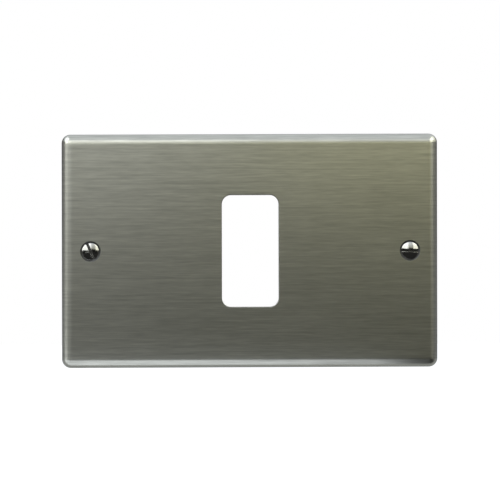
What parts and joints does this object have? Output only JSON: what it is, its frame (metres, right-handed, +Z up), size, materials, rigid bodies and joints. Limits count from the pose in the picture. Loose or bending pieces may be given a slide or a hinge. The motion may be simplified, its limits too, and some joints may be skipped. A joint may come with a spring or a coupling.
{
  "type": "switch plate",
  "caption": "Brushed steel wall plate with a turned-back edge, a central rounded aperture for a switch module and slotted raised-head fixing screws.",
  "frame": {"origin": "middle of the plate, on the plane of its rear rim, half way between the two fixing screws", "axes": "+X along the plate's width, to the right seen from the front; +Y back into the wall, along the screws; +Z up the plate's height"},
  "size_m": [0.1416, 0.0256, 0.0878],
  "materials": {
    "brushed_plate": "stainless steel sheet, brushed along its length",
    "screw_plating": "bright nickel plating on turned steel"
  },
  "bodies": {
    "root": {"front_plate": "brushed_plate", "fixing_screws": "screw_plating"}
  },
  "joints": []
}
